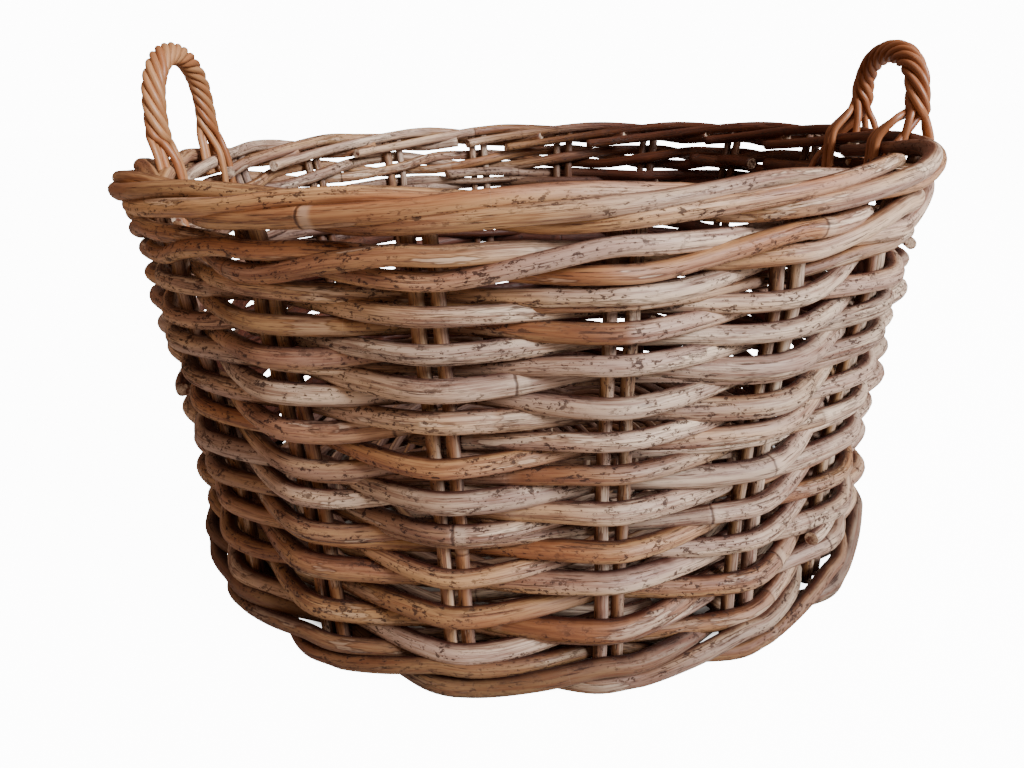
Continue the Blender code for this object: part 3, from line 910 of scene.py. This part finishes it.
def rattan_material(name, groups, colours, greyness, specks, rough, shade_and_dirt_amount, light):
    """Rattan with its own share of grey and of freckles, roughness, painted shade (with some soiling)
    and lightness.
    """
    w = new_material(name)
    place = w.group(groups["wrap"])[0]
    grain, cracks = w.group(groups["grain"], Place=place)
    freckles = w.group(groups["specks"], Place=place, Amount=specks)[0]
    ring, scar = w.group(groups["joints"], Place=place)
    bare, edge = w.group(groups["peel"], Place=place)
    # The first mask greys the side facing the window lamp (painted light, partly sun-bleaching); the
    # second marks painted shade, with some soiling.
    fade_and_window_light, hidden = w.group(groups["weather_light_and_shade"])
    tone, shade = w.attribute("tone"), w.attribute("shade")
    blotch = w.drawn(place, (90, 90, 9), 3, 0.6)
    honey = w.mix(w.band(blotch, 0.35, 0.65), colours["honey"], colours["orange"])
    grey = w.mix(w.band(blotch, 0.3, 0.7), colours["pale"], colours["grey"])
    share = w.plus(w.times(tone, 0.35), w.times(w.minus(1.0, shade), 0.9))
    # Greyer where the window lamp falls: partly painted light, partly sun-bleaching.
    share = w.plus(share, w.times(fade_and_window_light, 0.55))
    share = w.plus(share, w.minus(blotch, 0.5))
    colour = w.mix(w.band(share, 0.75 - greyness, 1.55 - greyness), honey, grey)
    colour = w.mix(w.times(bare, w.band(share, 0.3, 1.2, 0.75, 0.25)), colour, colours["pale"])
    # Lightness of each material; the foot rattan's low value paints its shade.
    lightness = [w.plus(light, w.times(tone, 0.36))] * 3
    colour = w.mix(1.0, colour, w.join(*lightness, kind="ShaderNodeCombineColor"), "MULTIPLY")
    colour = w.mix(w.band(grain, 0.56, 0.38, 0.7), colour, colours["brown"])
    colour = w.mix(w.times(edge, 0.5), colour, colours["speck"])
    colour = w.mix(w.times(scar, 0.35), colour, colours["pale"])
    # Painted shade, with some soiling: rattan that does not face out of the basket is darkened and
    # reddened.
    colour = w.mix(w.times(hidden, shade_and_dirt_amount), colour, colours["dirt"], "MULTIPLY")
    for mark, strength in ((cracks, 0.75), (freckles, 0.85), (ring, 0.75)):
        colour = w.mix(w.times(mark, strength), colour, colours["speck"])
    marks = w.plus(freckles, cracks, clamp=True)
    rough = w.plus(w.plus(rough, w.times(marks, 0.25)), w.times(grain, 0.15), clamp=True)
    height = grain
    for mark, depth in ((marks, 0.7), (ring, 0.9), (bare, 0.35)):
        height = w.minus(height, w.times(mark, depth))
    surface(w, colour, rough, height, 0.5, 0.0009, 0.4)


def cane_material(name, groups, colours, light, dark):
    """The handles' thin canes: smooth, with a soft gloss, tanned by use."""
    w = new_material(name)
    place = w.group(groups["wrap"])[0]
    grain, cracks = w.group(groups["grain"], Place=place)
    blotch = w.drawn(place, (120, 120, 25), 3, 0.6)
    share = w.plus(w.times(w.attribute("shade"), 0.6), w.times(w.minus(blotch, 0.5), 0.9))
    colour = w.mix(w.band(share, 0.1, 0.6), dark, light)
    colour = w.mix(w.band(grain, 0.56, 0.38, 0.35), colour, colours["brown"])
    colour = w.mix(w.times(cracks, 0.25), colour, colours["speck"])
    surface(w, colour, w.plus(0.3, w.times(grain, 0.22)), grain, 0.25, 0.0004)


def cut_material(colours):
    """A sawn end: pale wood with open pores and brown stains."""
    w = new_material("cut rattan")
    place = w.add("ShaderNodeTexCoord").outputs["Object"]
    pores = w.add("ShaderNodeTexVoronoi", {"Vector": place, "Scale": 1300.0}).outputs["Distance"]
    stain = w.noise(place, 260, 3, 0.6)
    colour = w.mix(w.band(stain, 0.35, 0.7), colours["pale"], colours["brown"])
    colour = w.mix(w.band(pores, 0.28, 0.12, 0.8), colour, colours["speck"])
    surface(w, colour, w.band(stain, 0.2, 0.8, 0.95, 0.75), pores, 0.5, 0.0006)


# --- The add-on ---


def size(name, description, default):
    return FloatProperty(name=name, description=description, default=default, unit="LENGTH")


def tint(name, description, default):
    given = {"name": name, "description": description, "default": default}
    return FloatVectorProperty(**given, subtype="COLOR_GAMMA", size=3, min=0, max=1)


def own_names(chosen):
    return [name for name in chosen.bl_rna.properties.keys() if name not in ("rna_type", "name")]


class BasketSizes(bpy.types.PropertyGroup):
    """The sizes that change how the basket is woven."""

    stake_diameter: size("Stake", "Thickness of one upright stake", 0.0080)
    border_diameter: size("Border rod", "Thickness of a rod in the rim", 0.0104)
    wale_diameter: size("Wale rod", "Thickness of a rod in the band under the rim", 0.0097)
    foot_diameter: size("Foot rod", "Thickness of a rod in the foot", 0.0106)
    foot_flare: size("Foot flare", "How far the foot's rods stand out from the stakes", 0.0046)
    cane_diameter: size("Handle cane", "Thickness of a cane in the handle's rope", 0.0051)
    rope_lay: size("Rope lay", "Length over which a cane goes once round the handle", 0.060)
    rope_canes: IntProperty(name="Canes", description="Canes in a rope", default=6, min=3, max=12)
    belly: size("Belly", "How far the middle rows are pushed up", 0.0050)
    unevenness: FloatProperty(
        name="Unevenness", description="How irregular the rods lie", default=1.0, min=0.0, max=2.0
    )


class BasketColours(bpy.types.PropertyGroup):
    """The colours that the rattan is mixed from."""

    honey: tint("Honey", "Fresh skin of the cane", (0.75, 0.58, 0.40))
    orange: tint("Orange", "Skin that has tanned", (0.64, 0.42, 0.27))
    pale: tint("Pale", "Bare, bleached wood", (0.88, 0.79, 0.69))
    grey: tint("Grey", "Weathered skin", (0.67, 0.56, 0.50))
    brown: tint("Brown", "The grain's dark streaks", (0.40, 0.22, 0.14))
    # Tint of the painted shade, with some soiling: it darkens and reddens the rattan that does not face
    # out of the basket.
    dirt: tint("Dirt", "What gathers between the rods", (0.40, 0.18, 0.12))
    speck: tint("Speck", "Freckles and cracks", (0.17, 0.085, 0.06))
    handle_light: tint("Handle, light", "The left handle's cane", (0.78, 0.57, 0.39))
    handle_tan: tint("Handle, tan", "The right handle's cane", (0.68, 0.44, 0.28))
    handle_dark: tint("Handle, dark", "The canes' darker stretches", (0.50, 0.28, 0.16))


class BASKET_OT_finishes(bpy.types.Operator):
    """Makes the rattan materials"""

    bl_idname = "basket.finishes"
    bl_label = "Make the rattan"

    def execute(self, context):
        chosen = context.scene.basket_colours
        colours = {name: linear(getattr(chosen, name)) for name in own_names(chosen)}
        groups = make_groups()
        for name, values in RATTANS.items():
            rattan_material(name, groups, colours, *values)
        tans = [colours[f"handle_{tan}"] for tan in ("light", "tan", "dark")]
        for label, light, dark in zip(("left", "right"), tans, tans[1:]):
            cane_material(f"{label} handle cane", groups, colours, light, dark)
        cut_material(colours)
        return {"FINISHED"}


class BASKET_OT_stakes(bpy.types.Operator):
    """Stands the pairs of stakes round the wall"""

    bl_idname = "basket.stakes"
    bl_label = "Stand the stakes"

    def execute(self, context):
        sizes = context.scene.basket_sizes
        for pair in range(PAIRS):
            node = f"stake_pair_{pair + 1:02d}"
            rng = random.Random(node)
            rods = stake_rods(pair, sizes, rng)
            weave_piece(f"stakes_{pair + 1:02d}", rods, "stake rattan", [node], rng)
        return {"FINISHED"}


class BASKET_OT_rows(bpy.types.Operator):
    """Weaves the rows of the wall in front of and behind the stakes"""

    bl_idname = "basket.rows"
    bl_label = "Weave the wall"

    def execute(self, context):
        sizes = context.scene.basket_sizes
        stack = stacked_rows(sizes)
        for row in range(ROWS):
            rng = random.Random(row_name(row))
            rods = row_rods(row, sizes, stack, rng)
            name = f"weave_{row + 1:02d}"
            weave_piece(name, rods, "weathered rattan", [row_name(row)], rng)
        return {"FINISHED"}


class BASKET_OT_bands(bpy.types.Operator):
    """Twists the foot and the wale round the stakes"""

    bl_idname = "basket.bands"
    bl_label = "Twist the foot and the wale"

    def execute(self, context):
        sizes = context.scene.basket_sizes
        foot, wale = sizes.foot_diameter / 2, sizes.wale_diameter / 2
        bands = (
            ("foot", "foot rattan", FOOT_LOW, FOOT_HIGH, foot, 0.55, sizes.foot_flare),
            ("wale", "border rattan", WALE_LOW - 0.0005, WALE_HIGH + 0.0005, wale, 0.72, 0),
        )
        for band, material, *values in bands:
            for number in range(3):
                node = f"{band}_rod_{number + 1}"
                rng = random.Random(node)
                rods = twisted_rods(number, rng, *values)
                weave_piece(f"{band}_{number + 1}", rods, material, [node], rng)
        return {"FINISHED"}


class BASKET_OT_border(bpy.types.Operator):
    """Folds the rim's rods over the top of the wall"""

    bl_idname = "basket.border"
    bl_label = "Fold the border"

    def execute(self, context):
        sizes = context.scene.basket_sizes
        for number in range(3):
            node = f"border_rod_{number + 1}"
            rng = random.Random(node)
            rods = border_rods(number, sizes, rng)
            weave_piece(f"border_{number + 1}", rods, "border rattan", [node], rng)
        return {"FINISHED"}


class BASKET_OT_base(bpy.types.Operator):
    """Lays the base's sticks and weaves rings round them"""

    bl_idname = "basket.base"
    bl_label = "Weave the base"

    def execute(self, context):
        for layer, axis in enumerate("xy"):
            for place in range(STICKS):
                node = f"base_stick_{axis}_{place + 1}"
                rng = random.Random(node)
                rods = base_rods(place, layer, rng)
                name = f"base_spoke_{axis}_{place + 1}"
                weave_piece(name, rods, "base rattan", [node], rng)
        rng = random.Random("base rings")
        weave_piece("base_rings", ring_rods(rng), "base rattan", ["base_weave"], rng)
        return {"FINISHED"}


class BASKET_OT_handles(bpy.types.Operator):
    """Lays the two rope handles"""

    bl_idname = "basket.handles"
    bl_label = "Lay the handles"

    def execute(self, context):
        sizes = context.scene.basket_sizes
        for label, side in (("left", -1), ("right", 1)):
            rng = random.Random(label)
            handle, material, slot = f"{label}_handle", f"{label} handle cane", "handle_rattan"
            weave_piece(f"{handle}_core", bow_rod(side), material, [f"{handle}_bow"], rng)
            strands = [f"{handle}_strand_{number}" for number in (1, 2)]
            weave_piece(f"{handle}_rope", rope_rods(side, sizes, rng), material, strands, rng)
        return {"FINISHED"}


class BASKET_OT_stage(bpy.types.Operator):
    """Sets the floor, the lights and the camera"""

    bl_idname = "basket.stage"
    bl_label = "Set the stage"

    def execute(self, context):
        scene = context.scene
        bm = bmesh.new()
        bmesh.ops.create_circle(bm, cap_ends=True, radius=9, segments=64)
        mesh = bpy.data.meshes.new("floor")
        bm.to_mesh(mesh)
        bm.free()
        mesh.materials.append(floor_material())
        floor = bpy.data.objects.new("floor", mesh)
        scene.collection.objects.link(floor)
        scene.world = bpy.data.worlds.new("studio")
        scene.world.use_nodes = True
        fill_world(scene.world.node_tree)
        for name, place, width, power, colour in LIGHTS:
            lamp = bpy.data.lights.new(name, "AREA")
            lamp.size, lamp.energy, lamp.color = width, power, colour
            light = bpy.data.objects.new(name, lamp)
            light.location = place
            aim = Vector((0, 0, 0.15)) - Vector(place)
            light.rotation_euler = aim.to_track_quat("-Z", "Y").to_euler()
            scene.collection.objects.link(light)
        set_camera(scene)
        return {"FINISHED"}


def floor_material():
    """A floor that looks as bright as the backdrop outside the foot, so that it runs into it."""
    material = bpy.data.materials.new("pale floor")
    material.use_nodes = True
    shader = material.node_tree.nodes["Principled BSDF"]
    shader.inputs["Base Color"].default_value = (0.5, 0.46, 0.42, 1)
    shader.inputs["Roughness"].default_value = 0.9
    shader.inputs["Emission Color"].default_value = (1, 1, 1, 1)
    w = Wiring(material.node_tree)
    seen = w.add("ShaderNodeLightPath").outputs["Is Camera Ray"]
    place = w.add("ShaderNodeTexCoord").outputs["Object"]
    radius = w.add("ShaderNodeVectorMath", {0: place}, operation="LENGTH").outputs["Value"]
    bright = w.times(seen, w.band(radius, FOOT_REACH - 0.028, FOOT_REACH - 0.002, BACKDROP - 0.3))
    material.node_tree.links.new(bright, shader.inputs["Emission Strength"])
    return material


def fill_world(tree):
    """A dim warm room round the basket, in front of a white backdrop."""
    tree.nodes.clear()
    w = Wiring(tree)
    room = w.add("ShaderNodeBackground", {"Color": (1, 0.60, 0.42, 1), "Strength": 0.24})
    backdrop = w.add("ShaderNodeBackground", {"Color": (1, 1, 1, 1), "Strength": BACKDROP})
    seen = w.add("ShaderNodeLightPath").outputs["Is Camera Ray"]
    both = w.add("ShaderNodeMixShader", {0: seen, 1: room.outputs[0], 2: backdrop.outputs[0]})
    w.add("ShaderNodeOutputWorld", {"Surface": both.outputs[0]})


def set_camera(scene):
    """A wide lens about two rim radii from the basket's axis, looking down over its rim."""
    rim = 0.2807
    pitch, yaw, roll = (math.radians(turn) for turn in CAMERA_TURNS)
    right = Vector((math.cos(yaw), math.sin(yaw), 0))
    level = Vector((-math.sin(yaw), math.cos(yaw), 0))
    ahead = level * math.cos(pitch) - Vector((0, 0, 1)) * math.sin(pitch)
    up = Vector((0, 0, 1)) * math.cos(pitch) + level * math.sin(pitch)
    across = right * math.cos(roll) - up * math.sin(roll)
    rise = right * math.sin(roll) + up * math.cos(roll)
    lens = bpy.data.cameras.new("camera")
    lens.sensor_width, lens.lens = 36, 27.0
    lens.clip_start = 0.01
    camera = bpy.data.objects.new("camera", lens)
    turned = Matrix((across, rise, -ahead)).transposed().to_4x4()
    camera.matrix_world = Matrix.Translation((0, -2.121 * rim, 1.141 * rim)) @ turned
    scene.collection.objects.link(camera)
    scene.camera = camera


class BASKET_PT_panel(bpy.types.Panel):
    """The basket's sizes, colours and steps"""

    bl_idname = "BASKET_PT_panel"
    bl_label = "Rattan basket"
    bl_space_type = "VIEW_3D"
    bl_region_type = "UI"
    bl_category = "Basket"

    def draw(self, context):
        for group_name in ("basket_sizes", "basket_colours"):
            chosen = getattr(context.scene, group_name)
            box = self.layout.box()
            for name in own_names(chosen):
                box.prop(chosen, name)
        for step in STEPS:
            self.layout.operator(step.bl_idname)


STEPS = (
    BASKET_OT_finishes, BASKET_OT_stage, BASKET_OT_stakes, BASKET_OT_rows, BASKET_OT_bands,
    BASKET_OT_border, BASKET_OT_base, BASKET_OT_handles,
)
CLASSES = (BasketSizes, BasketColours) + STEPS + (BASKET_PT_panel,)


def register():
    for made in CLASSES:
        bpy.utils.register_class(made)
    bpy.types.Scene.basket_sizes = PointerProperty(type=BasketSizes)
    bpy.types.Scene.basket_colours = PointerProperty(type=BasketColours)


def unregister():
    del bpy.types.Scene.basket_colours
    del bpy.types.Scene.basket_sizes
    for made in reversed(CLASSES):
        bpy.utils.unregister_class(made)


def main():
    register()
    bpy.ops.basket.finishes()
    bpy.ops.basket.stage()
    bpy.ops.basket.stakes()
    bpy.ops.basket.rows()
    bpy.ops.basket.bands()
    bpy.ops.basket.border()
    bpy.ops.basket.base()
    bpy.ops.basket.handles()


if __name__ == "__main__":
    main()
